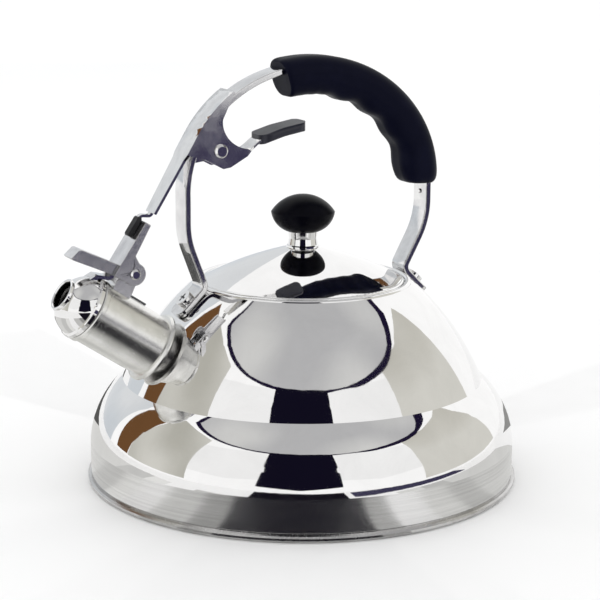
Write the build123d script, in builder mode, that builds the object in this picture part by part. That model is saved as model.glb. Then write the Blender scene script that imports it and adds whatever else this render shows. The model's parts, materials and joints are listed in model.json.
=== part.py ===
"""Stovetop whistling kettle, as an assembly of separate pieces.

Frame: millimetres, +Z up, origin at the centre of the base's bottom face.
The spout points along -X and the handle stands in the XZ plane.
"""

import os
from math import atan2, cos, degrees, radians, sin, sqrt

from build123d import *

os.makedirs("parts", exist_ok=True)

# ---------------------------------------------------------------- driving dimensions
WALL = 0.8

# vessel
BASE_R = 110.0
BASE_RIM_H = 3.3
GROOVE_R = 108.0
GROOVE_TOP = 4.1
BAND_R = 108.4
BAND_TOP = 21.0
CREASE = (91.6, 52.3)
NECK = (55.2, 101.4)
TIER_SAG = 3.6
DOME_SAG = 3.6
CORE_R = 96.0
CORE_H = 3.0

# lid mouth and lid
LIP_R = 53.4
LIP_BEAD = 1.5
SEAT_Z = 100.4
MOUTH_R = 49.6
COLLAR_H = 5.0
LID_R = 51.4
LID_GAP = 0.25
LID_BEAD = 1.1
LID_TOP_Z = 118.6
LID_CREST_R = 8.5
SKIRT_R = 48.6
SKIRT_H = 11.0

# knob
FERRULE_R = 7.6
FERRULE_FLANGE_R = 8.2
FERRULE_H = 8.2
KNOB_R = 16.1
KNOB_H = 18.6
KNOB_TIP_H = 9.8

# spout and whistle barrel
SPOUT_FOOT = (-78.3, 72.0)
SPOUT_PITCH = 34.0
SPOUT_NECK_R = 11.8
NECK_BORE_R = 11.0
BARREL_R = 15.6
BARREL_START = 4.0
BARREL_END = 46.0
REAR_BEAD_R = 17.9
FRONT_BEAD_R = 16.3

# nose cap and whistle
NOSE_GAP = 0.4
NOSE_RIM_L = 2.6
NOSE_END = 61.0
NOSE_SAG = 1.3
MOUTH_LIP_R = 8.3
MOUTH_BORE_R = 6.9
WHISTLE_HOLE_R = 1.6

# hinge of the nose cap
HINGE_ALONG = 36.3
HINGE_RISE = 25.9
HINGE_PIN_R = 1.6
HINGE_HEAD_R = 2.6
PIN_CLEARANCE = 0.05
EAR_IN = 4.6
EAR_OUT = 5.8
LEVER_IN = 6.2
LEVER_OUT = 7.5
LEVER_FACE = 9.0
LEVER_TOP = 24.2
LEVER_FOOT = -5.8
EAR_R = 5.6
TAB_RISE = 25.2
TAB_LENGTH = 20.6
TAB_HALF_W = 5.5

# handle
STRIP_W = 13.0
STRIP_T = 3.0
ARCH_X = 2.0
ARCH_Z = 150.0
ARCH_A = 67.5
ARCH_B = 59.5
KNEE_Z = 128.5
KNEE_RADIUS = 40.0
FOOT_X = 62.5
FOOT_END = 9.0
FOOT_RISE = 10.6
FOOT_BEND_R = 4.5
GRIP_START = 105.5
GRIP_END = -2.0
GRIP_W = 22.0
GRIP_INSIDE = 13.8
GRIP_OUTSIDE = 5.6
GRIP_CORNER = 8.0
GRIP_PIN_Z = 142.5
GRIP_PIN_R = 0.8
GRIP_PIN_HEAD_R = 1.2
FINGER_PITCH = 20.0
FINGER_CUSP = 28.0
FINGER_DEPTH = 1.4

# trigger
TRIGGER_PIN = (-48.8, 170.8)
TRIGGER_PIN_R = 1.6
TRIGGER_HEAD_R = 3.4
SHEET = 1.4
WEB_GAP = 0.6
WEB_START = 52.0
WEB_TANGENT = 27.9
LUG_T = 4.8
CHEEK_IN = 6.8
CHEEK_OUT = 8.0
ARM_LENGTH = 45.0
ARM_ROOT_W = 13.4
ARM_TIP_W = 10.6
CHEEK_RUN = 11.0
TONGUE_W = 3.2
SHOE_W = 4.8
SHOE_T = 2.4
SHOE_TOP = 25.0
SHOE_FOOT = 15.5
SHOE_GAP = 0.35
TONGUE_PLATE_W = 11.0
PAD_W = 18.0
PAD_T = 4.4
PAD_CORNER = 6.0
PAD_ENDS = (-26.6, -1.3)
SPRING_WIRE = 0.55
RETURN_WIRE = 0.45
SPRING_R = 2.7
LEG_ON_BARREL = 14.0
STRAP_W = 9.0


# ---------------------------------------------------------------- shared geometry
def arc_centre(start, end, sagitta):
    """Centre and radius of the arc from start to end that bulges away from the axis."""
    chord = sqrt((end[0] - start[0]) ** 2 + (end[1] - start[1]) ** 2)
    radius = (chord**2 / 4 + sagitta**2) / (2 * sagitta)
    normal_x = (end[1] - start[1]) / chord
    normal_z = -(end[0] - start[0]) / chord
    drop = radius - sagitta
    middle = ((start[0] + end[0]) / 2, (start[1] + end[1]) / 2)
    return (middle[0] - drop * normal_x, middle[1] - drop * normal_z), radius


def step(point, angle, distance):
    """Point reached from a point of the XZ plane by going a distance at an angle."""
    turn = radians(angle)
    return (point[0] + distance * cos(turn), point[1] + distance * sin(turn))


DOME_CENTRE, DOME_RADIUS = arc_centre(CREASE, NECK, DOME_SAG)


def dome_height(radius):
    """Height of the upper dome's outer face at a distance from the axis."""
    return DOME_CENTRE[1] + sqrt(DOME_RADIUS**2 - (radius - DOME_CENTRE[0]) ** 2)


# spout frame: local x points up from the barrel, local y runs along its axis
PITCH = radians(SPOUT_PITCH)
SPOUT_DIR = Vector(-cos(PITCH), 0, sin(PITCH))
SPOUT_UP = Vector(sin(PITCH), 0, cos(PITCH))
SPOUT_ORIGIN = Vector(SPOUT_FOOT[0], 0, SPOUT_FOOT[1])
SPOUT_SECTION = Plane(origin=SPOUT_ORIGIN, x_dir=SPOUT_UP, z_dir=(0, -1, 0))
SPOUT_AXIS = Axis(SPOUT_ORIGIN, SPOUT_DIR)


def across_spout(distance):
    """Plane square to the spout at a distance along it, local y pointing up."""
    origin = SPOUT_ORIGIN + SPOUT_DIR * distance
    return Plane(origin=origin, x_dir=(0, -1, 0), z_dir=SPOUT_DIR)


HINGE = SPOUT_ORIGIN + SPOUT_DIR * HINGE_ALONG + SPOUT_UP * HINGE_RISE


def head_planes(centre, half_width):
    """Planes at both ends of a pin that lies across the kettle, facing outward."""
    return [
        Plane(origin=centre + Vector(0, side * half_width, 0), x_dir=(1, 0, 0), z_dir=(0, side, 0))
        for side in (-1, 1)
    ]


# handle feet lie flat on the dome
FOOT_ANGLE = atan2(dome_height(FOOT_X) - DOME_CENTRE[1], FOOT_X - DOME_CENTRE[0])


def foot_plane(side, rise=0.0):
    """Plane on the dome under a handle foot, local y pointing downhill."""
    normal = Vector(side * cos(FOOT_ANGLE), 0, sin(FOOT_ANGLE))
    origin = Vector(side * FOOT_X, 0, dome_height(FOOT_X)) + normal * rise
    return Plane(origin=origin, x_dir=(0, -side, 0), z_dir=normal)


FOOT_PLANES = (foot_plane(-1), foot_plane(1))


# ---------------------------------------------------------------- vessel
# base_cap: pressed stainless cap with the rolled rim that the kettle rests on
with BuildPart() as base_cap:
    with BuildSketch(Plane.XZ):
        with BuildLine():
            Polyline(
                (0, 0),
                (BASE_R - 1.4, 0),
                (BASE_R, 1.4),
                (BASE_R, BASE_RIM_H - 0.8),
                (BASE_R - 0.8, BASE_RIM_H),
                (GROOVE_R, BASE_RIM_H),
                (GROOVE_R, GROOVE_TOP),
                (GROOVE_R - WALL, GROOVE_TOP),
                (GROOVE_R - WALL, 1.0),
                (0, 1.0),
                close=True,
            )
        make_face()
    revolve(axis=Axis.Z)
base_cap.part.label = "base_cap"
export_step(base_cap.part, "parts/base_cap.step")

# base_core: aluminium disc that spreads the heat
with BuildPart() as base_core:
    with BuildSketch(Plane.XY.offset(1.05)):
        Circle(CORE_R)
    extrude(amount=CORE_H)
    fillet(base_core.edges().filter_by(GeomType.CIRCLE), 0.5)
base_core.part.label = "base_core"
export_step(base_core.part, "parts/base_core.step")

# lower_pan: vessel bottom and the brushed side band
with BuildPart() as lower_pan:
    with BuildSketch(Plane.XY.offset(GROOVE_TOP)):
        Circle(BAND_R)
    extrude(amount=BAND_TOP - GROOVE_TOP)
    fillet(lower_pan.faces().sort_by(Axis.Z)[0].edges(), 0.7)
    offset(amount=-WALL, openings=lower_pan.faces().sort_by(Axis.Z)[-1])
lower_pan.part.label = "lower_pan"
export_step(lower_pan.part, "parts/lower_pan.step")

# upper_shell: polished two-tier dome with the rolled lid mouth
with BuildPart() as upper_shell:
    with BuildSketch(Plane.XZ):
        with BuildLine():
            Line((0, BAND_TOP), (BAND_R, BAND_TOP))
            SagittaArc((BAND_R, BAND_TOP), CREASE, -TIER_SAG)
            SagittaArc(CREASE, NECK, -DOME_SAG)
            Line(NECK, (0, NECK[1]))
            Line((0, NECK[1]), (0, BAND_TOP))
        make_face()
    revolve(axis=Axis.Z)
    flat_ends = upper_shell.faces().filter_by(GeomType.PLANE).sort_by(Axis.Z)
    offset(amount=-WALL, openings=[flat_ends[0], flat_ends[-1]])
    with BuildSketch(Plane.XZ):
        with Locations((LIP_R, SEAT_Z + LIP_BEAD / 2)):
            Circle(LIP_BEAD)
        with Locations((MOUTH_R, SEAT_Z)):
            Rectangle(LIP_R - MOUTH_R, WALL, align=(Align.MIN, Align.MAX))
            Rectangle(WALL, COLLAR_H, align=(Align.MIN, Align.MAX))
    revolve(axis=Axis.Z)
    with BuildSketch(across_spout(-12)):
        Circle(SPOUT_NECK_R)
    extrude(amount=30, mode=Mode.SUBTRACT)
    with BuildSketch(*[foot_plane(side, -6) for side in (-1, 1)]):
        Circle(2.1)
    extrude(amount=10, mode=Mode.SUBTRACT)
upper_shell.part.label = "upper_shell"
export_step(upper_shell.part, "parts/upper_shell.step")

# ---------------------------------------------------------------- spout
# spout_neck: short tube welded into the shoulder, with a flare inside the vessel
with BuildPart() as spout_neck:
    with BuildSketch(SPOUT_SECTION):
        with BuildLine():
            Polyline(
                (NECK_BORE_R, -6),
                (SPOUT_NECK_R - 0.02, -6),
                (SPOUT_NECK_R - 0.02, BARREL_START + WALL),
                (NECK_BORE_R, BARREL_START + WALL),
                close=True,
            )
        make_face()
    revolve(axis=SPOUT_AXIS)
spout_neck.part.label = "spout_neck"
export_step(spout_neck.part, "parts/spout_neck.step")

# spout_barrel: wide barrel with rolled beads at both ends
with BuildPart() as spout_barrel:
    with BuildSketch(SPOUT_SECTION):
        with BuildLine():
            Polyline(
                (SPOUT_NECK_R, BARREL_START),
                (REAR_BEAD_R - 1.2, BARREL_START),
                (REAR_BEAD_R, BARREL_START + 1.2),
                (REAR_BEAD_R, BARREL_START + 1.9),
                (REAR_BEAD_R - 1.0, BARREL_START + 2.9),
                (BARREL_R, BARREL_START + 3.2),
                (BARREL_R, BARREL_END - 3.0),
                (FRONT_BEAD_R, BARREL_END - 2.4),
                (FRONT_BEAD_R, BARREL_END - 0.6),
                (FRONT_BEAD_R - 0.6, BARREL_END),
                (BARREL_R - WALL, BARREL_END),
                (BARREL_R - WALL, BARREL_START + WALL),
                (SPOUT_NECK_R, BARREL_START + WALL),
                close=True,
            )
        make_face()
    revolve(axis=SPOUT_AXIS)
spout_barrel.part.label = "spout_barrel"
export_step(spout_barrel.part, "parts/spout_barrel.step")

# hinge_bracket: two ears and a front cross-wall welded on top of the barrel
with BuildPart() as hinge_bracket:
    with BuildSketch(SPOUT_SECTION):
        with BuildLine():
            Polyline(
                (BARREL_R - 2.0, HINGE_ALONG - 4.6),
                (BARREL_R + 1.5, HINGE_ALONG - 4.6),
                (HINGE_RISE - 0.5, HINGE_ALONG - 3.4),
                (HINGE_RISE - 0.5, HINGE_ALONG + 3.4),
                (BARREL_R + 3.0, HINGE_ALONG + 5.6),
                (BARREL_R - 2.0, HINGE_ALONG + 5.6),
                close=True,
            )
        make_face()
        with Locations((HINGE_RISE, HINGE_ALONG)):
            Circle(3.5)
            Circle(HINGE_PIN_R, mode=Mode.SUBTRACT)
    extrude(amount=EAR_OUT, both=True)
    with BuildSketch(SPOUT_SECTION):
        with Locations((BARREL_R - 3.0, HINGE_ALONG - 12.0)):
            Rectangle(20, 15.9, align=(Align.MIN, Align.MIN))
        with Locations((BARREL_R + 2.2, HINGE_ALONG - 12.0)):
            Rectangle(20, 20, align=(Align.MIN, Align.MIN))
    extrude(amount=EAR_IN, both=True, mode=Mode.SUBTRACT)
    with BuildSketch(across_spout(0)):
        Circle(BARREL_R)
    extrude(amount=BARREL_END, mode=Mode.SUBTRACT)
hinge_bracket.part.label = "hinge_bracket"
export_step(hinge_bracket.part, "parts/hinge_bracket.step")

# cap_hinge_pin: rivet pin with domed heads outside the lever
with BuildPart() as cap_hinge_pin:
    with BuildSketch(Plane(origin=HINGE, x_dir=(1, 0, 0), z_dir=(0, -1, 0))):
        Circle(HINGE_PIN_R)
    extrude(amount=LEVER_OUT + 0.3, both=True)
    with BuildSketch(*head_planes(HINGE, LEVER_OUT + 0.2)):
        Circle(HINGE_HEAD_R)
    extrude(amount=1.3)
    chamfer(cap_hinge_pin.edges().filter_by(GeomType.CIRCLE).sort_by(Axis.Y)[0], 0.8)
    chamfer(cap_hinge_pin.edges().filter_by(GeomType.CIRCLE).sort_by(Axis.Y)[-1], 0.8)
cap_hinge_pin.part.label = "cap_hinge_pin"
export_step(cap_hinge_pin.part, "parts/cap_hinge_pin.step")

# cap_spring: torsion spring round the pin, with one leg lying on the barrel
with BuildPart() as cap_spring:
    with BuildLine():
        spring_coil = Helix(
            pitch=1.5, height=6.0, radius=SPRING_R, center=HINGE - Vector(0, 3.0, 0), direction=(0, 1, 0)
        )
    with BuildSketch(Plane(origin=spring_coil @ 0, z_dir=spring_coil % 0)):
        Circle(SPRING_WIRE)
    sweep(path=spring_coil, is_frenet=True)
    leg_foot = SPOUT_ORIGIN + SPOUT_DIR * (HINGE_ALONG - SPRING_R) + SPOUT_UP * (BARREL_R + 0.65)
    leg_root = HINGE - SPOUT_DIR * SPRING_R + SPOUT_UP * 0.3
    with BuildSketch(Plane(origin=leg_root, z_dir=leg_foot - leg_root)):
        Circle(SPRING_WIRE)
    extrude(amount=(leg_foot - leg_root).length)
    with BuildSketch(Plane(origin=leg_foot + SPOUT_DIR * SPRING_WIRE, z_dir=-SPOUT_DIR)):
        Circle(SPRING_WIRE)
    extrude(amount=LEG_ON_BARREL)
cap_spring.part.label = "cap_spring"
export_step(cap_spring.part, "parts/cap_spring.step")

# ---------------------------------------------------------------- handle
FOOT_LINE = STRIP_T / 2 + 0.05


def foot_point(side, downhill):
    """Point of the bar's centre line in the XZ plane, along a foot."""
    spot = foot_plane(side, FOOT_LINE).from_local_coords(Vector(0, downhill, 0))
    return (spot.X, spot.Z)


# handle_strip: one bent flat bar, from foot to foot over the lid
with BuildPart() as handle_strip:
    with BuildLine(Plane.XZ) as strip_path:
        FilletPolyline(
            foot_point(1, FOOT_END),
            foot_point(1, -FOOT_RISE),
            (ARCH_X + ARCH_A, KNEE_Z),
            (ARCH_X + ARCH_A, ARCH_Z),
            radius=[FOOT_BEND_R, KNEE_RADIUS],
        )
        EllipticalCenterArc((ARCH_X, ARCH_Z), ARCH_A, ARCH_B, start_angle=0, arc_size=180)
        FilletPolyline(
            (ARCH_X - ARCH_A, ARCH_Z),
            (ARCH_X - ARCH_A, KNEE_Z),
            foot_point(-1, -FOOT_RISE),
            foot_point(-1, FOOT_END),
            radius=[KNEE_RADIUS, FOOT_BEND_R],
        )
    strip_wire = strip_path.wires()[0]
    with BuildSketch(Plane(origin=strip_wire @ 0, x_dir=(0, 1, 0), z_dir=strip_wire % 0)):
        RectangleRounded(STRIP_W, STRIP_T, 0.6)
    sweep(path=strip_wire)
    with BuildSketch(*FOOT_PLANES):
        with Locations((0, FOOT_END)):
            Rectangle(STRIP_W + 2, 8.0)
        with Locations((0, FOOT_END - 6.0)):
            RectangleRounded(STRIP_W - 0.01, 12.0, 5.0, mode=Mode.SUBTRACT)
        Circle(2.2)
    extrude(amount=6, mode=Mode.SUBTRACT)
    with BuildSketch(Plane.YZ.offset(ARCH_X + ARCH_A)):
        with Locations((0, GRIP_PIN_Z)):
            Circle(GRIP_PIN_R + PIN_CLEARANCE)
    extrude(amount=STRIP_T, both=True, mode=Mode.SUBTRACT)
handle_strip.part.label = "handle_strip"
export_step(handle_strip.part, "parts/handle_strip.step")

# handle_screws: two pan-head screws with a cross recess
HEAD_BASE = STRIP_T + 0.1
with BuildPart() as handle_screws:
    with BuildSketch(*[foot_plane(side, HEAD_BASE) for side in (-1, 1)]):
        Circle(4.4)
    extrude(amount=2.3)
    fillet(handle_screws.faces().filter_by(GeomType.PLANE).edges().filter_by(GeomType.CIRCLE), 0.3)
    with BuildSketch(*[foot_plane(side, HEAD_BASE + 2.3) for side in (-1, 1)]):
        Rectangle(4.6, 1.1)
        Rectangle(1.1, 4.6)
    extrude(amount=-1.4, mode=Mode.SUBTRACT)
    with BuildSketch(*[foot_plane(side, -6.0) for side in (-1, 1)]):
        Circle(2.0)
    extrude(amount=6.5 + HEAD_BASE)
handle_screws.part.label = "handle_screws"
export_step(handle_screws.part, "parts/handle_screws.step")

# handle_seals: silicone washers inside the dome
with BuildPart() as handle_seals:
    with BuildSketch(*[foot_plane(side, -WALL - 0.3) for side in (-1, 1)]):
        Circle(5.2)
        Circle(2.05, mode=Mode.SUBTRACT)
    extrude(amount=-1.0)
handle_seals.part.label = "handle_seals"
export_step(handle_seals.part, "parts/handle_seals.step")

# handle_nuts: hexagon nuts with closed domes inside the vessel
with BuildPart() as handle_nuts:
    with BuildSketch(*[foot_plane(side, -WALL - 1.3) for side in (-1, 1)]):
        RegularPolygon(4.1, 6)
    extrude(amount=-3.2)
    with BuildSketch(*[foot_plane(side, -WALL - 4.5) for side in (-1, 1)]):
        Circle(3.2)
    extrude(amount=-1.8, taper=30)
    with BuildSketch(*[foot_plane(side, -6.05) for side in (-1, 1)]):
        Circle(2.05)
    extrude(amount=6, mode=Mode.SUBTRACT)
handle_nuts.part.label = "handle_nuts"
export_step(handle_nuts.part, "parts/handle_nuts.step")


# handle_grip: soft-touch sleeve lofted along the arch, with finger scallops inside
def arch_radius(angle):
    """Distance of the bar's centre line from the middle of the arch."""
    turn = radians(angle)
    return 1 / sqrt((cos(turn) / ARCH_A) ** 2 + (sin(turn) / ARCH_B) ** 2)


def grip_span(angle):
    """Inner and outer distance of the sleeve's skin from the middle of the arch."""
    ripple = FINGER_DEPTH * (1 + cos(radians(360 * (angle - FINGER_CUSP) / FINGER_PITCH))) / 2
    if angle > FINGER_CUSP + 2.5 * FINGER_PITCH:
        ripple = 0
    middle = arch_radius(angle)
    return middle - GRIP_INSIDE - ripple, middle + GRIP_OUTSIDE


# angle round the arch and how much the skin draws in, for each section of the sleeve
GRIP_SECTIONS = [(GRIP_START, 1.2), (GRIP_START - 1.2, 0.2)]
GRIP_SECTIONS += [(angle, 0.0) for angle in range(100, 4, -4)]
GRIP_SECTIONS += [(GRIP_END + 3, 0.3), (GRIP_END, 2.6)]
with BuildPart() as handle_grip:
    for angle, shrink in GRIP_SECTIONS:
        inner, outer = grip_span(angle)
        outward = Vector(cos(radians(angle)), 0, sin(radians(angle)))
        along_arch = Vector(-sin(radians(angle)), 0, cos(radians(angle)))
        middle = Vector(ARCH_X, 0, ARCH_Z) + outward * (inner + outer) / 2
        with BuildSketch(Plane(origin=middle, x_dir=outward, z_dir=along_arch)):
            RectangleRounded(outer - inner - 2 * shrink, GRIP_W - 2 * shrink, GRIP_CORNER - shrink)
    loft()
    with BuildSketch(Plane(origin=(ARCH_X, 0, ARCH_Z), x_dir=(1, 0, 0), z_dir=(0, -1, 0))):
        Ellipse(ARCH_A + STRIP_T / 2 + 0.02, ARCH_B + STRIP_T / 2 + 0.02)
        Ellipse(ARCH_A - STRIP_T / 2 - 0.02, ARCH_B - STRIP_T / 2 - 0.02, mode=Mode.SUBTRACT)
        Rectangle(200, 60, align=(Align.CENTER, Align.MAX), mode=Mode.SUBTRACT)
        with Locations((ARCH_A, 0)):
            Rectangle(STRIP_T + 0.04, 20, align=(Align.CENTER, Align.MAX))
    extrude(amount=STRIP_W / 2 + 0.02, both=True, mode=Mode.SUBTRACT)
handle_grip.part.label = "handle_grip"
export_step(handle_grip.part, "parts/handle_grip.step")

# grip_pin: rivet through the bar that stops the sleeve from sliding down
with BuildPart() as grip_pin:
    with BuildSketch(Plane.YZ.offset(ARCH_X + ARCH_A)):
        with Locations((0, GRIP_PIN_Z)):
            Circle(GRIP_PIN_R)
    extrude(amount=STRIP_T / 2 + 0.3, both=True)
    with BuildSketch(Plane.YZ.offset(ARCH_X + ARCH_A + STRIP_T / 2 + 0.05)):
        with Locations((0, GRIP_PIN_Z)):
            Circle(GRIP_PIN_HEAD_R)
    extrude(amount=0.7)
    with BuildSketch(Plane.YZ.offset(ARCH_X + ARCH_A - STRIP_T / 2 - 0.05)):
        with Locations((0, GRIP_PIN_Z)):
            Circle(GRIP_PIN_HEAD_R)
    extrude(amount=-0.7)
    fillet(grip_pin.faces().sort_by(Axis.X)[0].edges() + grip_pin.faces().sort_by(Axis.X)[-1].edges(), 0.4)
grip_pin.part.label = "grip_pin"
export_step(grip_pin.part, "parts/grip_pin.step")

# ---------------------------------------------------------------- trigger
SIDE_VIEW = Plane.XZ
TRIGGER_AXIS = Vector(TRIGGER_PIN[0], 0, TRIGGER_PIN[1])
WEB_MIDDLE = STRIP_T / 2 + WEB_GAP + SHEET / 2


def on_arch(extra, turn):
    """Point over the spout side of the arch, a distance outside the bar's centre line."""
    spread = radians(180 - turn)
    return (ARCH_X + (ARCH_A + extra) * cos(spread), ARCH_Z + (ARCH_B + extra) * sin(spread))


# trigger_lug: web welded under the bar, bored for the trigger's pin
with BuildPart() as trigger_lug:
    with BuildSketch(SIDE_VIEW):
        with Locations(TRIGGER_PIN):
            Circle(4.2)
        with Locations(on_arch(0, 15), on_arch(0, 34)):
            Circle(0.8)
        make_hull()
        with Locations((ARCH_X, ARCH_Z)):
            Ellipse(ARCH_A - STRIP_T / 2 - 0.02, ARCH_B - STRIP_T / 2 - 0.02, mode=Mode.INTERSECT)
        with Locations(TRIGGER_PIN):
            Circle(TRIGGER_PIN_R, mode=Mode.SUBTRACT)
    extrude(amount=LUG_T / 2, both=True)
trigger_lug.part.label = "trigger_lug"
export_step(trigger_lug.part, "parts/trigger_lug.step")

# trigger_pin: rivet pin that the trigger swings on
with BuildPart() as trigger_pin:
    with BuildSketch(Plane(origin=TRIGGER_AXIS, x_dir=(1, 0, 0), z_dir=(0, -1, 0))):
        Circle(TRIGGER_PIN_R)
    extrude(amount=CHEEK_OUT + 0.3, both=True)
    with BuildSketch(*head_planes(TRIGGER_AXIS, CHEEK_OUT + 0.15)):
        Circle(TRIGGER_HEAD_R)
    extrude(amount=1.5)
    chamfer(trigger_pin.edges().filter_by(GeomType.CIRCLE).sort_by(Axis.Y)[0], 0.9)
    chamfer(trigger_pin.edges().filter_by(GeomType.CIRCLE).sort_by(Axis.Y)[-1], 0.9)
trigger_pin.part.label = "trigger_pin"
export_step(trigger_pin.part, "parts/trigger_pin.step")

# trigger_spring: torsion spring beside the lug, one leg on the bar and one on the tongue
COIL_START = TRIGGER_AXIS + Vector(0, LUG_T / 2 + RETURN_WIRE + 0.1, 0)
with BuildPart() as trigger_spring:
    with BuildLine():
        return_coil = Helix(
            pitch=1.1, height=3.2, radius=SPRING_R, center=COIL_START, direction=(0, 1, 0)
        )
    with BuildSketch(Plane(origin=return_coil @ 0, z_dir=return_coil % 0)):
        Circle(RETURN_WIRE)
    sweep(path=return_coil, is_frenet=True)
    with BuildSketch(Plane(origin=COIL_START + Vector(SPRING_R, 0, 0), z_dir=(0.98, 0, -0.03))):
        Circle(RETURN_WIRE)
    extrude(amount=4.5)
trigger_spring.part.label = "trigger_spring"
export_step(trigger_spring.part, "parts/trigger_spring.step")

# lever frame: local x runs outward from the web, local y runs up along it
LEVER_PLANE = Plane(origin=HINGE, x_dir=SPOUT_DIR, z_dir=(0, 1, 0))


def by_lever(outward, upward):
    """Point of the XZ plane given in the lever's frame, from the hinge."""
    spot = HINGE + SPOUT_DIR * outward + SPOUT_UP * upward
    return (spot.X, spot.Z)


# trigger_bracket: sheet-steel saddle over the bar with two cheeks and the long arm
CHEEK_FOOT = [
    (-14.4, -2.2), (-9.4, -3.2), (1.3, -8.8), (5.3, -8.2), (14.4, -3.2), (16.3, -0.8), (14.3, 0.4)
]
CHEEK_REAR = [(14.3, 0.4), (8.2, 2.4), (3.4, 6.8), (1.3, 11.6), (1.2, 15.3)]


def by_pin(across, upward):
    """Point of the XZ plane given from the trigger's pin."""
    return (TRIGGER_PIN[0] + across, TRIGGER_PIN[1] + upward)


ARM_ROOT = on_arch(WEB_MIDDLE, WEB_TANGENT)
WEB_A = ARCH_A + WEB_MIDDLE
WEB_B = ARCH_B + WEB_MIDDLE
ARM_SLOPE = degrees(atan2(WEB_B * cos(radians(WEB_TANGENT)), WEB_A * sin(radians(WEB_TANGENT))))
ARM_END = step(ARM_ROOT, 180 + ARM_SLOPE, ARM_LENGTH)
SHOE_LINE = LEVER_FACE + SHOE_GAP + SHOE_T / 2
with BuildPart() as trigger_bracket:
    with BuildLine(SIDE_VIEW) as bracket_path:
        EllipticalCenterArc(
            (ARCH_X, ARCH_Z),
            WEB_A,
            WEB_B,
            start_angle=180 - WEB_START,
            arc_size=WEB_START - WEB_TANGENT,
        )
        FilletPolyline(
            ARM_ROOT,
            ARM_END,
            by_lever(SHOE_LINE, SHOE_TOP + 0.8),
            by_lever(SHOE_LINE, SHOE_FOOT + 1.5),
            radius=[2.0, 2.0],
        )
    bracket_wire = bracket_path.wires()[0]
    with BuildSketch(Plane(origin=bracket_wire @ 0, x_dir=(0, 1, 0), z_dir=bracket_wire % 0)):
        Rectangle(2 * CHEEK_OUT, SHEET)
    sweep(path=bracket_wire)
    arm_dir = Vector(ARM_END[0] - ARM_ROOT[0], 0, ARM_END[1] - ARM_ROOT[1]).normalized()
    arm_normal = arm_dir.cross(Vector(0, 1, 0))
    arm_face = Plane(origin=(ARM_ROOT[0], 0, ARM_ROOT[1]), x_dir=arm_dir, z_dir=arm_normal)
    with BuildSketch(arm_face):
        with BuildLine():
            Polyline(
                (CHEEK_RUN, CHEEK_OUT + 3),
                (CHEEK_RUN, CHEEK_OUT),
                (CHEEK_RUN + 3, ARM_ROOT_W / 2),
                (ARM_LENGTH - 1.5, ARM_TIP_W / 2),
                (ARM_LENGTH - 1.5, TONGUE_W / 2),
                (ARM_LENGTH + 20, TONGUE_W / 2),
                (ARM_LENGTH + 20, CHEEK_OUT + 3),
                close=True,
            )
        make_face()
        mirror(about=Plane.XZ)
    extrude(amount=18, both=True, mode=Mode.SUBTRACT)
    with BuildSketch(SIDE_VIEW):
        with BuildLine():
            EllipticalCenterArc(
                (ARCH_X, ARCH_Z),
                WEB_A,
                WEB_B,
                start_angle=180 - WEB_START,
                arc_size=WEB_START - WEB_TANGENT,
            )
            Line(ARM_ROOT, step(ARM_ROOT, 180 + ARM_SLOPE, CHEEK_RUN))
            Polyline(step(ARM_ROOT, 180 + ARM_SLOPE, CHEEK_RUN), *[by_pin(*spot) for spot in CHEEK_FOOT])
            Spline(*[by_pin(*spot) for spot in CHEEK_REAR])
            Line(by_pin(*CHEEK_REAR[-1]), on_arch(WEB_MIDDLE, WEB_START))
        make_face()
        with Locations(TRIGGER_PIN):
            Circle(TRIGGER_PIN_R + PIN_CLEARANCE, mode=Mode.SUBTRACT)
    extrude(amount=CHEEK_OUT, both=True)
    with BuildSketch(SIDE_VIEW):
        with BuildLine():
            EllipticalCenterArc(
                (ARCH_X, ARCH_Z),
                WEB_A - SHEET / 2,
                WEB_B - SHEET / 2,
                start_angle=180 - WEB_START - 20,
                arc_size=WEB_START - WEB_TANGENT + 20,
            )
            Line(
                on_arch(WEB_MIDDLE - SHEET / 2, WEB_TANGENT),
                step(on_arch(WEB_MIDDLE - SHEET / 2, WEB_TANGENT), 180 + ARM_SLOPE, 26),
            )
            Polyline(
                step(on_arch(WEB_MIDDLE - SHEET / 2, WEB_TANGENT), 180 + ARM_SLOPE, 26),
                (-20, 150),
                on_arch(WEB_MIDDLE - SHEET / 2, WEB_START + 20),
            )
        make_face()
    extrude(amount=CHEEK_IN, both=True, mode=Mode.SUBTRACT)
trigger_bracket.part.label = "trigger_bracket"
export_step(trigger_bracket.part, "parts/trigger_bracket.step")

# pad_tongue: cranked plate welded between the cheeks, carrying the pad
with BuildPart() as pad_tongue:
    with BuildLine(SIDE_VIEW) as tongue_path:
        FilletPolyline(
            (-41.0, 168.8),
            (-32.5, 169.4),
            (-26.5, 174.2),
            (-14.5, 177.9),
            (-6.0, 179.7),
            radius=[6.0, 6.0, 30.0],
        )
    tongue_wire = tongue_path.wires()[0]
    with BuildSketch(Plane(origin=tongue_wire @ 0, x_dir=(0, 1, 0), z_dir=tongue_wire % 0)):
        Rectangle(2 * CHEEK_IN - 0.04, SHEET)
    sweep(path=tongue_wire)
    with BuildSketch(Plane.XY.offset(160)):
        with BuildLine():
            Polyline(
                (-34, 10),
                (-34, CHEEK_IN),
                (-30, TONGUE_PLATE_W / 2),
                (0, TONGUE_PLATE_W / 2),
                (0, 10),
                close=True,
            )
        make_face()
        mirror(about=Plane.XZ)
    extrude(amount=40, mode=Mode.SUBTRACT)
pad_tongue.part.label = "pad_tongue"
export_step(pad_tongue.part, "parts/pad_tongue.step")

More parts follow.
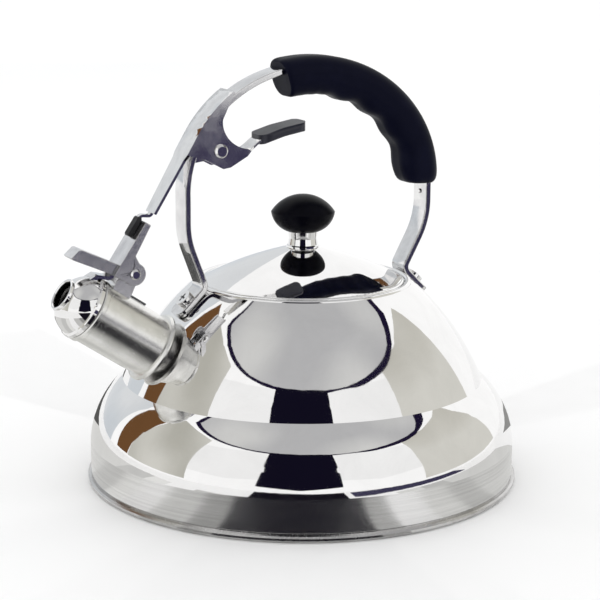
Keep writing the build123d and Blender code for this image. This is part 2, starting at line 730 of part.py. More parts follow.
# trigger_pad: rubber finger pad moulded over the tongue
with BuildPart() as trigger_pad:
    with BuildLine(SIDE_VIEW) as pad_path:
        FilletPolyline((-28.4, 174.2), (-14.5, 178.3), (1.0, 181.1), radius=40.0)
    pad_wire = pad_path.wires()[0]
    with BuildSketch(Plane(origin=pad_wire @ 0, x_dir=(0, 1, 0), z_dir=pad_wire % 0)):
        RectangleRounded(PAD_W, PAD_T, 1.8)
    sweep(path=pad_wire)
    with BuildSketch(Plane.XY.offset(160)):
        with Locations(((PAD_ENDS[0] + PAD_ENDS[1]) / 2, 0)):
            RectangleRounded(PAD_ENDS[1] - PAD_ENDS[0], PAD_W, PAD_CORNER)
    extrude(amount=40, mode=Mode.INTERSECT)
    add(pad_tongue.part, mode=Mode.SUBTRACT)
trigger_pad.part.label = "trigger_pad"
export_step(trigger_pad.part, "parts/trigger_pad.step")

# arm_shoe: nylon shoe on the arm's tongue, resting outside the nose lever
with BuildPart() as arm_shoe:
    with BuildSketch(LEVER_PLANE):
        with Locations((SHOE_LINE, (SHOE_TOP + SHOE_FOOT) / 2 - SHOE_T / 4)):
            SlotCenterToCenter(SHOE_TOP - SHOE_FOOT - SHOE_T / 2, SHOE_T, rotation=90)
    extrude(amount=SHOE_W / 2, both=True)
    add(trigger_bracket.part, mode=Mode.SUBTRACT)
arm_shoe.part.label = "arm_shoe"
export_step(arm_shoe.part, "parts/arm_shoe.step")

# ---------------------------------------------------------------- nose cap
# cap_lever: inverted channel that straddles the hinge bracket
with BuildPart() as cap_lever:
    with BuildSketch(LEVER_PLANE):
        with BuildLine():
            Polyline(
                (LEVER_FACE, LEVER_TOP),
                (LEVER_FACE, LEVER_FOOT),
                (LEVER_FACE - 2.4, LEVER_FOOT),
                (1.0, -EAR_R + 0.2),
                (0.5, EAR_R - 0.2),
                (LEVER_FACE - 4.4, 7.6),
                (LEVER_FACE - 4.0, 13.0),
                (LEVER_FACE - 3.0, LEVER_TOP),
                close=True,
            )
        make_face()
        Circle(EAR_R)
        Circle(HINGE_PIN_R + PIN_CLEARANCE, mode=Mode.SUBTRACT)
    extrude(amount=LEVER_OUT, both=True)
    with BuildSketch(LEVER_PLANE):
        with Locations((LEVER_FACE - SHEET, LEVER_FOOT - 5)):
            Rectangle(40, 60, align=(Align.MAX, Align.MIN))
    extrude(amount=LEVER_IN, both=True, mode=Mode.SUBTRACT)
cap_lever.part.label = "cap_lever"
export_step(cap_lever.part, "parts/cap_lever.step")

# thumb_tab: small channel with a closed end, for opening the cap by hand
TAB_ROOT = (LEVER_FACE, 0.1)
TAB_END = step(TAB_ROOT, TAB_RISE - SPOUT_PITCH, TAB_LENGTH)
with BuildPart() as thumb_tab:
    with BuildSketch(LEVER_PLANE):
        with BuildLine():
            Polyline(
                TAB_ROOT,
                TAB_END,
                (TAB_END[0] + 0.9, TAB_END[1] - 0.6),
                (TAB_END[0] + 2.3, TAB_END[1] - 6.2),
                (TAB_END[0] + 0.9, TAB_END[1] - 6.4),
                (LEVER_FACE, LEVER_FOOT + 0.2),
                close=True,
            )
        make_face()
    extrude(amount=TAB_HALF_W, both=True)
    with BuildSketch(LEVER_PLANE):
        with BuildLine():
            Polyline(
                (TAB_ROOT[0] - 1, TAB_ROOT[1] - SHEET),
                (TAB_END[0] - 0.4, TAB_END[1] - SHEET),
                (TAB_END[0] + 0.6, TAB_END[1] - 8.0),
                (LEVER_FACE - 1, LEVER_FOOT - 6),
                close=True,
            )
        make_face()
    extrude(amount=TAB_HALF_W - SHEET, both=True, mode=Mode.SUBTRACT)
thumb_tab.part.label = "thumb_tab"
export_step(thumb_tab.part, "parts/thumb_tab.step")

# outer profile of the nose cap: distance from the spout's axis, distance along it
NOSE_START = BARREL_END + NOSE_GAP
SHOULDER = (15.2, NOSE_START + NOSE_RIM_L + 0.4)
THROAT = (8.0, NOSE_END - 1.8)

# nose_cap: rounded cap with a rim at the back and a flared mouth
with BuildPart() as nose_cap:
    with BuildSketch(SPOUT_SECTION):
        with BuildLine():
            Polyline(
                (FRONT_BEAD_R - WALL, NOSE_START),
                (FRONT_BEAD_R - 0.4, NOSE_START),
                (FRONT_BEAD_R, NOSE_START + 0.5),
                (FRONT_BEAD_R, NOSE_START + NOSE_RIM_L - 0.4),
                (FRONT_BEAD_R - 0.5, NOSE_START + NOSE_RIM_L),
                SHOULDER,
            )
            SagittaArc(SHOULDER, THROAT, -NOSE_SAG)
            Polyline(
                THROAT,
                (MOUTH_LIP_R, NOSE_END - 1.1),
                (MOUTH_LIP_R, NOSE_END - 0.3),
                (MOUTH_LIP_R - 0.4, NOSE_END),
                (MOUTH_BORE_R + 0.4, NOSE_END),
                (MOUTH_BORE_R, NOSE_END - 0.5),
                (MOUTH_BORE_R, THROAT[1] - 0.6),
            )
            SagittaArc((MOUTH_BORE_R, THROAT[1] - 0.6), (SHOULDER[0] - WALL, SHOULDER[1] - 0.3), NOSE_SAG)
            Line((SHOULDER[0] - WALL, SHOULDER[1] - 0.3), (SHOULDER[0] - WALL, NOSE_START + 1.2))
            Line((SHOULDER[0] - WALL, NOSE_START + 1.2), (FRONT_BEAD_R - WALL, NOSE_START + 1.2))
            Line((FRONT_BEAD_R - WALL, NOSE_START + 1.2), (FRONT_BEAD_R - WALL, NOSE_START))
        make_face()
    revolve(axis=SPOUT_AXIS)
nose_cap.part.label = "nose_cap"
export_step(nose_cap.part, "parts/nose_cap.step")

# cap_arm: strap from the lever's foot down to the crown of the nose cap
CLEAR_SHOULDER = (SHOULDER[0] + 0.02, SHOULDER[1] + 0.02)
CLEAR_THROAT = (THROAT[0] + 0.02, THROAT[1] + 0.02)
with BuildPart() as cap_arm:
    with BuildSketch(LEVER_PLANE):
        with BuildLine():
            Polyline(
                (LEVER_FACE, LEVER_FOOT),
                (LEVER_FACE + 1.2, LEVER_FOOT - 1.6),
                (LEVER_FACE + 6.6, LEVER_FOOT - 3.6),
                (LEVER_FACE + 9.0, LEVER_FOOT - 8.0),
                (LEVER_FACE + 5.0, LEVER_FOOT - 8.0),
                (LEVER_FACE + 5.0, LEVER_FOOT - 4.9),
                (LEVER_FACE, LEVER_FOOT - 3.0),
                (LEVER_FACE - SHEET, LEVER_FOOT - 1.0),
                (LEVER_FACE - SHEET, LEVER_FOOT),
                close=True,
            )
        make_face()
    extrude(amount=STRAP_W / 2, both=True)
    with BuildSketch(SPOUT_SECTION):
        with BuildLine():
            Polyline(
                (0, NOSE_START - 1),
                (FRONT_BEAD_R + 0.02, NOSE_START - 1),
                (FRONT_BEAD_R + 0.02, NOSE_START + NOSE_RIM_L - 0.4),
                (FRONT_BEAD_R - 0.48, NOSE_START + NOSE_RIM_L + 0.02),
                CLEAR_SHOULDER,
            )
            SagittaArc(CLEAR_SHOULDER, CLEAR_THROAT, -NOSE_SAG)
            Polyline(CLEAR_THROAT, (0, THROAT[1]), (0, NOSE_START - 1))
        make_face()
    revolve(axis=SPOUT_AXIS, mode=Mode.SUBTRACT)
cap_arm.part.label = "cap_arm"
export_step(cap_arm.part, "parts/cap_arm.step")

# whistle_cup: tube that holds the two whistle discs inside the nose cap
CUP_R = 13.0
CUP_START = 44.6
CUP_END = 51.0
with BuildPart() as whistle_cup:
    with BuildSketch(SPOUT_SECTION):
        with BuildLine():
            Polyline(
                (CUP_R - WALL, CUP_START),
                (CUP_R, CUP_START),
                (CUP_R, CUP_END - WALL),
                (CUP_R - 2.0, CUP_END),
                (CUP_R - 3.0, CUP_END),
                (CUP_R - WALL, CUP_END - 1.4),
                close=True,
            )
        make_face()
    revolve(axis=SPOUT_AXIS)
whistle_cup.part.label = "whistle_cup"
export_step(whistle_cup.part, "parts/whistle_cup.step")

# whistle_disc_rear: drilled disc facing the barrel
with BuildPart() as whistle_disc_rear:
    with BuildSketch(across_spout(CUP_START + 0.4)):
        Circle(CUP_R - WALL - 0.02)
        Circle(WHISTLE_HOLE_R, mode=Mode.SUBTRACT)
    extrude(amount=0.6)
whistle_disc_rear.part.label = "whistle_disc_rear"
export_step(whistle_disc_rear.part, "parts/whistle_disc_rear.step")

# whistle_disc_front: second drilled disc, which closes the sounding chamber
with BuildPart() as whistle_disc_front:
    with BuildSketch(across_spout(CUP_END - 2.4)):
        Circle(CUP_R - WALL - 0.02)
        Circle(WHISTLE_HOLE_R, mode=Mode.SUBTRACT)
    extrude(amount=0.6)
whistle_disc_front.part.label = "whistle_disc_front"
export_step(whistle_disc_front.part, "parts/whistle_disc_front.step")

# cap_seal: silicone ring between the cup and the cap's rim
with BuildPart() as cap_seal:
    with BuildSketch(across_spout(NOSE_START)):
        Circle(FRONT_BEAD_R - WALL - 0.02)
        Circle(CUP_R + 0.02, mode=Mode.SUBTRACT)
    extrude(amount=1.1)
cap_seal.part.label = "cap_seal"
export_step(cap_seal.part, "parts/cap_seal.step")

# ---------------------------------------------------------------- lid
LID_EDGE = (LID_R - 0.7, SEAT_Z + LID_GAP + 2 * LID_BEAD - 0.3)
LID_SAG = 1.2
SCREW_R = 2.0

# lid_dome: shallow cone with a rolled edge and a flat crest for the knob
with BuildPart() as lid_dome:
    with BuildSketch(Plane.XZ):
        with BuildLine():
            Line((SCREW_R + 0.1, LID_TOP_Z), (LID_CREST_R, LID_TOP_Z))
            SagittaArc((LID_CREST_R, LID_TOP_Z), LID_EDGE, LID_SAG)
            Line(LID_EDGE, (LID_EDGE[0] - WALL, LID_EDGE[1] - WALL))
            SagittaArc((LID_EDGE[0] - WALL, LID_EDGE[1] - WALL), (LID_CREST_R, LID_TOP_Z - WALL), -LID_SAG)
            Line((LID_CREST_R, LID_TOP_Z - WALL), (SCREW_R + 0.1, LID_TOP_Z - WALL))
            Line((SCREW_R + 0.1, LID_TOP_Z - WALL), (SCREW_R + 0.1, LID_TOP_Z))
        make_face()
        with Locations((LID_R - LID_BEAD, SEAT_Z + LID_GAP + LID_BEAD)):
            Circle(LID_BEAD)
    revolve(axis=Axis.Z)
lid_dome.part.label = "lid_dome"
export_step(lid_dome.part, "parts/lid_dome.step")

# lid_skirt: ring under the lid that locates it in the collar
with BuildPart() as lid_skirt:
    with BuildSketch(Plane.XZ):
        with BuildLine():
            Polyline(
                (SKIRT_R, SEAT_Z - SKIRT_H),
                (SKIRT_R, SEAT_Z + 0.6),
                (SKIRT_R - WALL, SEAT_Z + 1.2),
                (SKIRT_R - 4, SEAT_Z + 2.6),
                (SKIRT_R - 4, SEAT_Z + 1.8),
                (SKIRT_R - WALL, SEAT_Z + 0.4),
                (SKIRT_R - WALL, SEAT_Z - SKIRT_H),
                close=True,
            )
        make_face()
    revolve(axis=Axis.Z)
lid_skirt.part.label = "lid_skirt"
export_step(lid_skirt.part, "parts/lid_skirt.step")

# knob_ferrule: bright collar between the lid and the knob
with BuildPart() as knob_ferrule:
    with BuildSketch(Plane.XZ):
        with BuildLine():
            Polyline(
                (SCREW_R + 0.1, LID_TOP_Z + 0.02),
                (FERRULE_FLANGE_R, LID_TOP_Z + 0.02),
                (FERRULE_FLANGE_R, LID_TOP_Z + 0.9),
                (FERRULE_R, LID_TOP_Z + 1.4),
                (FERRULE_R - 0.5, LID_TOP_Z + 4.5),
                (FERRULE_R, LID_TOP_Z + FERRULE_H),
                (SCREW_R + 0.1, LID_TOP_Z + FERRULE_H),
                close=True,
            )
        make_face()
    revolve(axis=Axis.Z)
knob_ferrule.part.label = "knob_ferrule"
export_step(knob_ferrule.part, "parts/knob_ferrule.step")

# knob: lens-shaped phenolic knob with a blind hole for the screw
KNOB_BASE_Z = LID_TOP_Z + FERRULE_H + 0.02
KNOB_RIM = (KNOB_R, KNOB_BASE_Z + KNOB_TIP_H)
KNOB_NECK = (FERRULE_R + 0.6, KNOB_BASE_Z)
CROWN_H = KNOB_H - KNOB_TIP_H
CROWN_R = (KNOB_R**2 + CROWN_H**2) / (2 * CROWN_H)
CROWN_CENTRE_Z = KNOB_BASE_Z + KNOB_H - CROWN_R
CROWN_TURN = degrees(atan2(KNOB_RIM[1] - CROWN_CENTRE_Z, KNOB_R))
with BuildPart() as knob:
    with BuildSketch(Plane.XZ):
        with BuildLine():
            Line((0, KNOB_BASE_Z), KNOB_NECK)
            SagittaArc(KNOB_NECK, KNOB_RIM, -1.8)
            CenterArc((0, CROWN_CENTRE_Z), CROWN_R, CROWN_TURN, 90 - CROWN_TURN)
            Line((0, KNOB_BASE_Z + KNOB_H), (0, KNOB_BASE_Z))
        make_face()
    revolve(axis=Axis.Z)
    with BuildSketch(Plane.XY.offset(KNOB_BASE_Z)):
        Circle(SCREW_R)
    extrude(amount=11, mode=Mode.SUBTRACT)
knob.part.label = "knob"
export_step(knob.part, "parts/knob.step")

# knob_washer: washer under the lid
with BuildPart() as knob_washer:
    with BuildSketch(Plane.XY.offset(LID_TOP_Z - WALL - 0.02)):
        Circle(6.0)
        Circle(SCREW_R + 0.1, mode=Mode.SUBTRACT)
    extrude(amount=-1.0)
knob_washer.part.label = "knob_washer"
export_step(knob_washer.part, "parts/knob_washer.step")

# knob_screw: pan-head screw from inside the lid into the knob
with BuildPart() as knob_screw:
    with BuildSketch(Plane.XY.offset(LID_TOP_Z - WALL - 1.04)):
        Circle(4.0)
    extrude(amount=-2.4)
    fillet(knob_screw.faces().sort_by(Axis.Z)[0].edges(), 0.8)
    with BuildSketch(Plane.XY.offset(LID_TOP_Z - WALL - 3.44)):
        Rectangle(4.2, 1.0)
        Rectangle(1.0, 4.2)
    extrude(amount=1.3, mode=Mode.SUBTRACT)
    with BuildSketch(Plane.XY.offset(LID_TOP_Z - WALL - 1.04)):
        Circle(SCREW_R - 0.02)
    extrude(amount=FERRULE_H + 11)
knob_screw.part.label = "knob_screw"
export_step(knob_screw.part, "parts/knob_screw.step")
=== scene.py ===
"""Stovetop whistling kettle: materials, rolled edges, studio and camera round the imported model."""

import json
import math

import bmesh
import bpy
from mathutils import Matrix, Quaternion, Vector


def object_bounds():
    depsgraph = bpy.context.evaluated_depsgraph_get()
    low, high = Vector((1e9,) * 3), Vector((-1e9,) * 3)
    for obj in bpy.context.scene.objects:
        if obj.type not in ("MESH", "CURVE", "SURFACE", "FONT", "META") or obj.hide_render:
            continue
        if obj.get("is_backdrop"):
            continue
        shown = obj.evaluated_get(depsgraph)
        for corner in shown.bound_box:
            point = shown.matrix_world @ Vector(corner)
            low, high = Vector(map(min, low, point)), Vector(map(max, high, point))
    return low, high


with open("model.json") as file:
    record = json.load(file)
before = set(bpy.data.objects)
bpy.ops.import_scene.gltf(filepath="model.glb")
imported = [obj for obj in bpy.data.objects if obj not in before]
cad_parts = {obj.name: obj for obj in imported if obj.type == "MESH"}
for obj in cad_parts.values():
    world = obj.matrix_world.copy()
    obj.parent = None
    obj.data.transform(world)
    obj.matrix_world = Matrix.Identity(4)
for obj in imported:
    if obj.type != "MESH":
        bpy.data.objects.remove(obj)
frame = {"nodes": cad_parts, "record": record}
CAD_LO, CAD_HI = (v.copy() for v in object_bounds())
NODES = frame["nodes"]
scene = bpy.context.scene
MM = 0.001
MIX_FACTOR, MIX_FIRST, MIX_SECOND, MIX_RESULT = 0, 6, 7, 2
FINE_RELIEF = 0.2 * MM


# ---------------------------------------------------------------- materials
class Nodes:
    """Small helper round one material's node tree."""

    def __init__(self, name):
        self.material = bpy.data.materials.new(name)
        self.material.use_nodes = True
        self.tree = self.material.node_tree
        self.shader = self.tree.nodes["Principled BSDF"]
        coords = self.tree.nodes.new("ShaderNodeTexCoord")
        self.position = coords.outputs["Object"]

    def add(self, kind, **values):
        node = self.tree.nodes.new(kind)
        for key, value in values.items():
            if key in node.inputs:
                node.inputs[key].default_value = value
            else:
                setattr(node, key, value)
        return node

    def link(self, source, target):
        self.tree.links.new(source, target)

    def mapping(self, scale):
        node = self.add("ShaderNodeMapping")
        node.inputs["Scale"].default_value = scale
        self.link(self.position, node.inputs["Vector"])
        return node.outputs["Vector"]

    def noise(self, scale, detail=2.0, rough=0.5, vector=None, distortion=0.0):
        node = self.add(
            "ShaderNodeTexNoise", Scale=scale, Detail=detail, Roughness=rough, Distortion=distortion
        )
        self.link(vector or self.position, node.inputs["Vector"])
        return node.outputs["Fac"]

    def ramp(self, source, low, high, out_low, out_high):
        node = self.add("ShaderNodeMapRange", clamp=True)
        node.inputs["From Min"].default_value = low
        node.inputs["From Max"].default_value = high
        node.inputs["To Min"].default_value = out_low
        node.inputs["To Max"].default_value = out_high
        self.link(source, node.inputs["Value"])
        return node.outputs["Result"]

    def mix(self, factor, first, second):
        node = self.add("ShaderNodeMix", data_type="RGBA")
        node.inputs[MIX_FIRST].default_value = (*first, 1.0)
        node.inputs[MIX_SECOND].default_value = (*second, 1.0)
        self.link(factor, node.inputs[MIX_FACTOR])
        return node.outputs[MIX_RESULT]

    def math(self, operation, first, second):
        node = self.add("ShaderNodeMath", operation=operation)
        for socket, value in ((0, first), (1, second)):
            if isinstance(value, (int, float)):
                node.inputs[socket].default_value = value
            else:
                self.link(value, node.inputs[socket])
        return node.outputs[0]

    def bump(self, height, strength, distance=FINE_RELIEF, under=None):
        node = self.add("ShaderNodeBump", Strength=strength, Distance=distance)
        self.link(height, node.inputs["Height"])
        if under is not None:
            self.link(under, node.inputs["Normal"])
        return node.outputs["Normal"]

    def edge(self, low=0.52, high=0.6):
        """1 on convex edges, 0 elsewhere."""
        geometry = self.add("ShaderNodeNewGeometry")
        return self.ramp(geometry.outputs["Pointiness"], low, high, 0.0, 1.0)

    def finish(self, colour, roughness, normal=None, metallic=0.0):
        self.link(colour, self.shader.inputs["Base Color"])
        self.link(roughness, self.shader.inputs["Roughness"])
        if normal is not None:
            self.link(normal, self.shader.inputs["Normal"])
        self.shader.inputs["Metallic"].default_value = metallic
        return self.material


def polished(name, light=(0.86, 0.855, 0.85), dark=(0.80, 0.795, 0.79), gloss=0.025, haze=0.06, ripple=0.012):
    """Mirror-polished steel with a faint haze, wiping marks and pressing ripple."""
    n = Nodes(name)
    smudge = n.noise(38.0, 5.0, 0.62, distortion=0.6)
    fine = n.noise(900.0, 3.0, 0.6)
    colour = n.mix(n.ramp(smudge, 0.35, 0.7, 0.0, 1.0), light, dark)
    roughness = n.math("ADD", n.ramp(smudge, 0.4, 0.75, gloss, haze), n.ramp(fine, 0.55, 0.8, 0.0, 0.02))
    normal = n.bump(n.noise(24.0, 1.0, 0.4), ripple, 2 * MM)
    return n.finish(colour, roughness, n.bump(fine, 0.004, under=normal), 1.0)


def satin(name, light=(0.66, 0.655, 0.65), dark=(0.5, 0.495, 0.49), low=0.16, high=0.32, relief=0.05):
    """Pressed steel with a fine tumbled grain."""
    n = Nodes(name)
    grain = n.noise(1400.0, 4.0, 0.65)
    patch = n.noise(60.0, 4.0, 0.6)
    colour = n.mix(n.ramp(patch, 0.35, 0.7, 0.0, 1.0), light, dark)
    roughness = n.ramp(grain, 0.3, 0.75, low, high)
    return n.finish(colour, roughness, n.bump(grain, relief), 1.0)


def brushed_round(name, light=(0.84, 0.835, 0.83), dark=(0.66, 0.655, 0.65)):
    """Steel brushed round the upright axis: fine rings at every height."""
    n = Nodes(name)
    rings = n.noise(1.0, 5.0, 0.7, vector=n.mapping((14.0, 14.0, 5200.0)))
    broad = n.noise(1.0, 3.0, 0.6, vector=n.mapping((9.0, 9.0, 900.0)))
    colour = n.mix(n.ramp(n.math("ADD", rings, broad), 0.75, 1.3, 0.0, 1.0), light, dark)
    roughness = n.ramp(rings, 0.3, 0.75, 0.14, 0.22)
    tangent = n.add("ShaderNodeTangent", direction_type="RADIAL", axis="Z")
    n.link(tangent.outputs["Tangent"], n.shader.inputs["Tangent"])
    n.shader.inputs["Anisotropic"].default_value = 0.92
    n.shader.inputs["Anisotropic Rotation"].default_value = 0.25
    return n.finish(colour, roughness, n.bump(rings, 0.015), 1.0)


def moulded(name, base, worn, low, high, grain=1500.0, depth=0.08, shine=0.3):
    """Moulded plastic or rubber: faint grain, slightly polished and paler where it is handled."""
    n = Nodes(name)
    skin = n.noise(grain, 3.0, 0.6)
    handled = n.noise(45.0, 4.0, 0.6)
    rubbed = n.math("ADD", n.ramp(handled, 0.45, 0.75, 0.0, 0.6), n.math("MULTIPLY", n.edge(), 0.4))
    colour = n.mix(rubbed, base, worn)
    roughness = n.math("ADD", n.ramp(handled, 0.35, 0.7, high, low), n.ramp(skin, 0.4, 0.7, 0.0, 0.05))
    n.shader.inputs["Specular IOR Level"].default_value = shine
    return n.finish(colour, roughness, n.bump(skin, depth))


def pressed(name, light=(0.84, 0.835, 0.83), dark=(0.66, 0.655, 0.66)):
    """Pressed sheet steel, brighter on its rolled edges, with faint drawing marks along it."""
    n = Nodes(name)
    marks = n.noise(1.0, 4.0, 0.6, vector=n.mapping((90.0, 1600.0, 90.0)))
    patch = n.noise(110.0, 4.0, 0.6)
    worn = n.math("ADD", n.ramp(patch, 0.35, 0.7, 0.0, 0.8), n.math("MULTIPLY", n.edge(), 0.5))
    colour = n.mix(worn, dark, light)
    roughness = n.math("ADD", n.ramp(patch, 0.35, 0.7, 0.05, 0.1), n.ramp(marks, 0.4, 0.7, 0.0, 0.05))
    return n.finish(colour, roughness, n.bump(marks, 0.012), 1.0)


STEEL = polished("polished_steel")
FITTING = pressed("pressed_fitting")
SATIN = satin("satin_steel")
LEVER = satin(
    "tumbled_steel", light=(0.82, 0.815, 0.82), dark=(0.62, 0.615, 0.63), low=0.16, high=0.28, relief=0.012
)
BARREL = satin(
    "drawn_tube_steel", light=(0.84, 0.835, 0.81), dark=(0.7, 0.695, 0.67), low=0.25, high=0.28, relief=0.003
)
SPRING = satin("spring_wire", light=(0.2, 0.2, 0.21), dark=(0.1, 0.1, 0.11), low=0.2, high=0.35)
CORE = satin("aluminium_disc", light=(0.6, 0.6, 0.61), dark=(0.5, 0.5, 0.51), low=0.35, high=0.5)
BRUSHED = brushed_round("brushed_band")
GRIP = moulded(
    "soft_touch_grip", base=(0.0012, 0.0018, 0.011), worn=(0.005, 0.006, 0.02),
    low=0.38, high=0.5, grain=2200.0, depth=0.05, shine=0.07,
)
KNOB = moulded(
    "phenolic_knob", base=(0.001, 0.001, 0.003), worn=(0.003, 0.003, 0.007),
    low=0.25, high=0.36, grain=1800.0, depth=0.03, shine=0.06,
)
PAD = moulded(
    "pad_rubber", base=(0.004, 0.0045, 0.016), worn=(0.016, 0.017, 0.034),
    low=0.34, high=0.46, depth=0.06, shine=0.55,
)
NYLON = moulded("black_nylon", base=(0.012, 0.012, 0.014), worn=(0.03, 0.03, 0.032), low=0.4, high=0.55)
SEAL = moulded("silicone", base=(0.05, 0.05, 0.05), worn=(0.09, 0.09, 0.09), low=0.5, high=0.65)

SLOT_LOOK = {
    "polished_steel": STEEL, "brushed_steel": BRUSHED, "satin_steel": SATIN, "core_aluminium": CORE,
    "grip_black": GRIP, "knob_black": KNOB, "pad_rubber": PAD, "black_nylon": NYLON,
    "seal_silicone": SEAL, "spring_steel": SPRING,
}


def dress(names, material):
    """Give every slot of the named nodes one material."""
    for name in names:
        for slot in NODES[name].material_slots:
            slot.material = material


for part in frame["record"]["subparts"]:
    dress([part["node"]], SLOT_LOOK[part["material_slot"]])
dress(["handle_strip", "trigger_bracket", "pad_tongue", "trigger_lug", "cap_arm"], FITTING)
dress(["cap_lever", "hinge_bracket", "thumb_tab"], LEVER)
dress(["spout_barrel"], BARREL)

# rolled edges on the sheet parts, in mm: join the faces, then round every sharp edge
WELD_DISTANCE = 0.02 * MM
SHARP_ANGLE = math.radians(32)
EDGE_WIDTHS = {
    "handle_strip": 0.5, "trigger_bracket": 0.3, "pad_tongue": 0.3, "hinge_bracket": 0.25, "cap_lever": 0.35,
    "thumb_tab": 0.3, "cap_arm": 0.25, "arm_shoe": 0.4, "trigger_pin": 0.4, "cap_hinge_pin": 0.3,
}
for name, width in EDGE_WIDTHS.items():
    weld = NODES[name].modifiers.new("weld", "WELD")
    weld.merge_threshold = WELD_DISTANCE
    bevel = NODES[name].modifiers.new("edge", "BEVEL")
    bevel.width = width * MM
    bevel.segments = 2
    bevel.limit_method = "ANGLE"
    bevel.angle_limit = SHARP_ANGLE
    bevel.harden_normals = True


# ---------------------------------------------------------------- studio
CAMERA_AT = Vector((-0.4086, -0.8019, 0.292))
FRONT = math.degrees(math.atan2(CAMERA_AT.y, CAMERA_AT.x))
CENTRE = Vector((0, 0, 0.07))
FLOOR_R = 6.0
CLOTH_Z = 0.5 * MM
CLOTH_STEP = 4.0
WORLD_STRENGTH = 1.1


def around(turn, rise, distance):
    """Point seen from the kettle at an angle to the right of the front, and an angle up."""
    a, e = math.radians(FRONT + turn), math.radians(rise)
    return CENTRE + Vector((math.cos(a) * math.cos(e), math.sin(a) * math.cos(e), math.sin(e))) * distance


def studio_object(name, mesh):
    obj = bpy.data.objects.new(name, mesh)
    scene.collection.objects.link(obj)
    obj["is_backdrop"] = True
    return obj


def glow(name, shape, colour, second=None):
    """Studio object seen only in reflections, glowing in one colour or in two that drift into each other."""
    mesh = bpy.data.meshes.new(name)
    shape.to_mesh(mesh)
    shape.free()
    obj = studio_object(name, mesh)
    material = bpy.data.materials.new(name)
    material.use_nodes = True
    tree = material.node_tree
    tree.nodes.clear()
    light = tree.nodes.new("ShaderNodeEmission")
    light.inputs["Color"].default_value = (*colour, 1)
    out = tree.nodes.new("ShaderNodeOutputMaterial")
    tree.links.new(light.outputs[0], out.inputs[0])
    if second is not None:
        coords = tree.nodes.new("ShaderNodeTexCoord")
        blur = tree.nodes.new("ShaderNodeTexNoise")
        blur.inputs["Scale"].default_value = 0.7
        blur.inputs["Detail"].default_value = 0.0
        spread = tree.nodes.new("ShaderNodeMapRange")
        spread.inputs["From Min"].default_value = 0.35
        spread.inputs["From Max"].default_value = 0.65
        blend = tree.nodes.new("ShaderNodeMix")
        blend.data_type = "RGBA"
        blend.inputs[MIX_FIRST].default_value = (*colour, 1)
        blend.inputs[MIX_SECOND].default_value = (*second, 1)
        tree.links.new(coords.outputs["Object"], blur.inputs["Vector"])
        tree.links.new(blur.outputs["Fac"], spread.inputs["Value"])
        tree.links.new(spread.outputs["Result"], blend.inputs[MIX_FACTOR])
        tree.links.new(blend.outputs[MIX_RESULT], light.inputs["Color"])
    mesh.materials.append(material)
    obj.visible_camera = False
    obj.visible_shadow = False
    obj.visible_diffuse = False
    obj.visible_transmission = False


def panel(name, colour, distance, middle, outline, second=None):
    """Upright panel round the kettle; outline and middle are angles to the right and up."""
    shape = bmesh.new()
    hub = shape.verts.new(around(*middle, distance))
    rim = [shape.verts.new(around(turn, rise, distance)) for turn, rise in outline]
    for index in range(len(rim)):
        shape.faces.new((hub, rim[index], rim[(index + 1) % len(rim)]))
    glow(name, shape, colour, second)


def smooth(points, steps=4):
    """Smooth line through points that are given (Catmull-Rom)."""
    knots = [Vector(point) for point in points]
    knots = [knots[0] * 2 - knots[1], *knots, knots[-1] * 2 - knots[-2]]
    line = []
    for before, first, last, after in zip(knots, knots[1:], knots[2:], knots[3:]):
        for step in range(steps):
            t = step / steps
            bend = first * 2 + (last - before) * t
            bend += (before * 2 - first * 5 + last * 4 - after) * t**2
            bend += (first * 3 - before - last * 3 + after) * t**3
            line.append(bend / 2)
    return line + [Vector(points[-1])]


def glowing_cloth(name, colour, start, end, near, far):
    """Glowing sector of a ring on the table round the kettle, seen only in reflections: a painted reflection
    whose fixed colour stands in for how the cloth is lit.
    """
    shape = bmesh.new()
    steps = max(int((end - start) / CLOTH_STEP), 1)
    rows = []
    for index in range(steps + 1):
        turn = start + (end - start) * index / steps
        row = []
        for distance in (near, far):
            spot = around(turn, 0, distance)
            row.append(shape.verts.new((spot.x, spot.y, CLOTH_Z)))
        rows.append(row)
    for first, after in zip(rows, rows[1:]):
        shape.faces.new((first[0], first[1], after[1], after[0]))
    glow(name, shape, colour)


floor_mesh = bpy.data.meshes.new("floor")
floor_shape = bmesh.new()
bmesh.ops.create_circle(floor_shape, cap_ends=True, segments=96, radius=FLOOR_R)
floor_shape.to_mesh(floor_mesh)
floor_shape.free()
floor = studio_object("floor", floor_mesh)
floor_look = Nodes("floor")
floor_look.finish(
    floor_look.mix(floor_look.noise(3.0, 2.0), (0.93, 0.93, 0.93), (0.95, 0.95, 0.95)),
    floor_look.ramp(floor_look.noise(60.0, 2.0), 0.3, 0.7, 0.6, 0.7),
)
floor_mesh.materials.append(floor_look.material)

world = bpy.data.worlds.new("studio")
scene.world = world
world.use_nodes = True
background = world.node_tree.nodes["Background"]
background.inputs["Color"].default_value = (1.0, 1.0, 1.0, 1)
background.inputs["Strength"].default_value = WORLD_STRENGTH

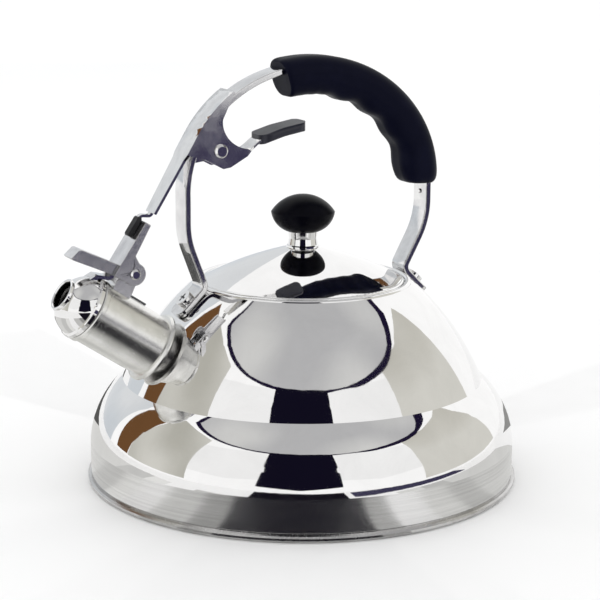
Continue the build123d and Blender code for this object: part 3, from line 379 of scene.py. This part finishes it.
# panels: angles to the right and up, and distances in metres from the kettle
VIOLET = (0.012, 0.008, 0.03)
WINDOW_WHITE = (1.0, 1.0, 1.0)
WALL_LIGHT = (0.72, 0.71, 0.66)
BOX_MIDDLE = (0, 80)
BOX_FRONT = [(-91, 53), (-75, 50), (-43, 45), (0, 43), (35, 41.9), (67, 43), (86, 45), (107, 51)]
BOX_EDGE = [(-94, 57), *smooth(BOX_FRONT), (120, 58), (150, 66), (-150, 68), (-105, 68)]
FRAME_FRONT = [(-93, 51), (-60, 45.6), (-32, 43), (0, 41.4), (35, 40), (66, 40), (82, 41.6), (110, 47.2)]
FRAME_EDGE = [(-96, 54), *smooth(FRAME_FRONT), (122, 55), (150, 64), (-150, 67), (-105, 67)]
panel("softbox_top", (0.52, 0.52, 0.53), 2.3, BOX_MIDDLE, BOX_EDGE, (0.7, 0.7, 0.69))
panel("softbox_frame", VIOLET, 2.4, BOX_MIDDLE, FRAME_EDGE)
panel(
    "window_left", WINDOW_WHITE, 2.25, (-40, 28),
    [(-62, 38), (-42, 41), (-20, 42), (-20, 12), (-40, 9), (-62, 10)],
)
panel(
    "window_right", WINDOW_WHITE, 2.25, (42, 26),
    [(19, 41), (42, 40), (67, 37), (66, 12), (42, 9), (19, 12)],
)
panel(
    "front_dark", (0.006, 0.005, 0.014), 2.2, (0, 22),
    [(-20, 43), (0, 43), (19, 42), (20, 22), (21, 4), (0, 1), (-23, 4), (-21, 22)],
)
panel(
    "wall_right", (0.6, 0.585, 0.53), 2.5, (95, 15),
    [(67, 42), (90, 42), (120, 42), (122, 20), (124, 0), (95, 0), (66, 0)],
    WALL_LIGHT,
)
panel(
    "wall_left", (0.5, 0.49, 0.44), 2.5, (-80, 15),
    [(-62, 44), (-80, 47), (-98, 48), (-101, 30), (-103, 0), (-80, 0), (-62, 0)],
    WALL_LIGHT,
)
panel(
    "wall_back_left", (0.66, 0.7, 0.74), 2.6, (-150, 10),
    [(-122, 50), (-150, 40), (-178, 30), (-178, -20), (-150, -20), (-122, -5)],
    (0.78, 0.8, 0.82),
)
panel(
    "post_left", (0.16, 0.075, 0.03), 2.45, (-110, 20),
    [(-101, 46), (-118, 46), (-120, 30), (-114, 0), (-104, 0), (-101, 20)],
)

# glowing cloth sectors, painted reflections of lit cloth on the table: start and end angle to the right, then
# near and far distance in metres
glowing_cloth("glowing_cloth_front", (0.008, 0.007, 0.012), -23, 21, 0.112, 2.2)
glowing_cloth("glowing_cloth_right", (0.05, 0.045, 0.09), 24, 84, 0.42, 1.8)
# ring of glowing grey sectors round the kettle's foot: painted reflection of the table's light and shade,
# seen only in reflections
RING_NEAR, RING_FAR = 0.112, 0.36
RING = (
    (-150, -128, 0.1), (-128, -86, 0.74), (-86, -70, 0.62), (-70, -60, 0.85), (-47, -33, 0.6),
    (-33, -23, 0.33), (21, 29, 0.42), (42, 54, 0.75), (54, 67, 0.55), (67, 110, 0.7), (125, 140, 0.3),
)
for start, end, grey in RING:
    glowing_cloth("ring_%03d" % (start + 180), (grey, grey, grey * 0.98), start, end, RING_NEAR, RING_FAR)

# ---------------------------------------------------------------- camera
LENS = 108.7
SENSOR = 36.0
TILT, PAN, ROLL = math.radians(12.6), math.radians(0.08), math.radians(0.35)
camera_data = bpy.data.cameras.new("camera")
camera_data.lens = LENS
camera_data.sensor_width = SENSOR
camera_data.clip_start = 0.01
camera_data.clip_end = 50.0
camera = bpy.data.objects.new("camera", camera_data)
scene.collection.objects.link(camera)
look = Matrix.Rotation(PAN, 3, "Z") @ Vector((-CAMERA_AT.x, -CAMERA_AT.y, 0)).normalized()
forward = look * math.cos(TILT) - Vector((0, 0, math.sin(TILT)))
camera.rotation_mode = "QUATERNION"
camera.rotation_quaternion = forward.to_track_quat("-Z", "Y") @ Quaternion((0, 0, 1), ROLL)
camera.location = CAMERA_AT
scene.camera = camera
scene.view_settings.view_transform = "Standard"
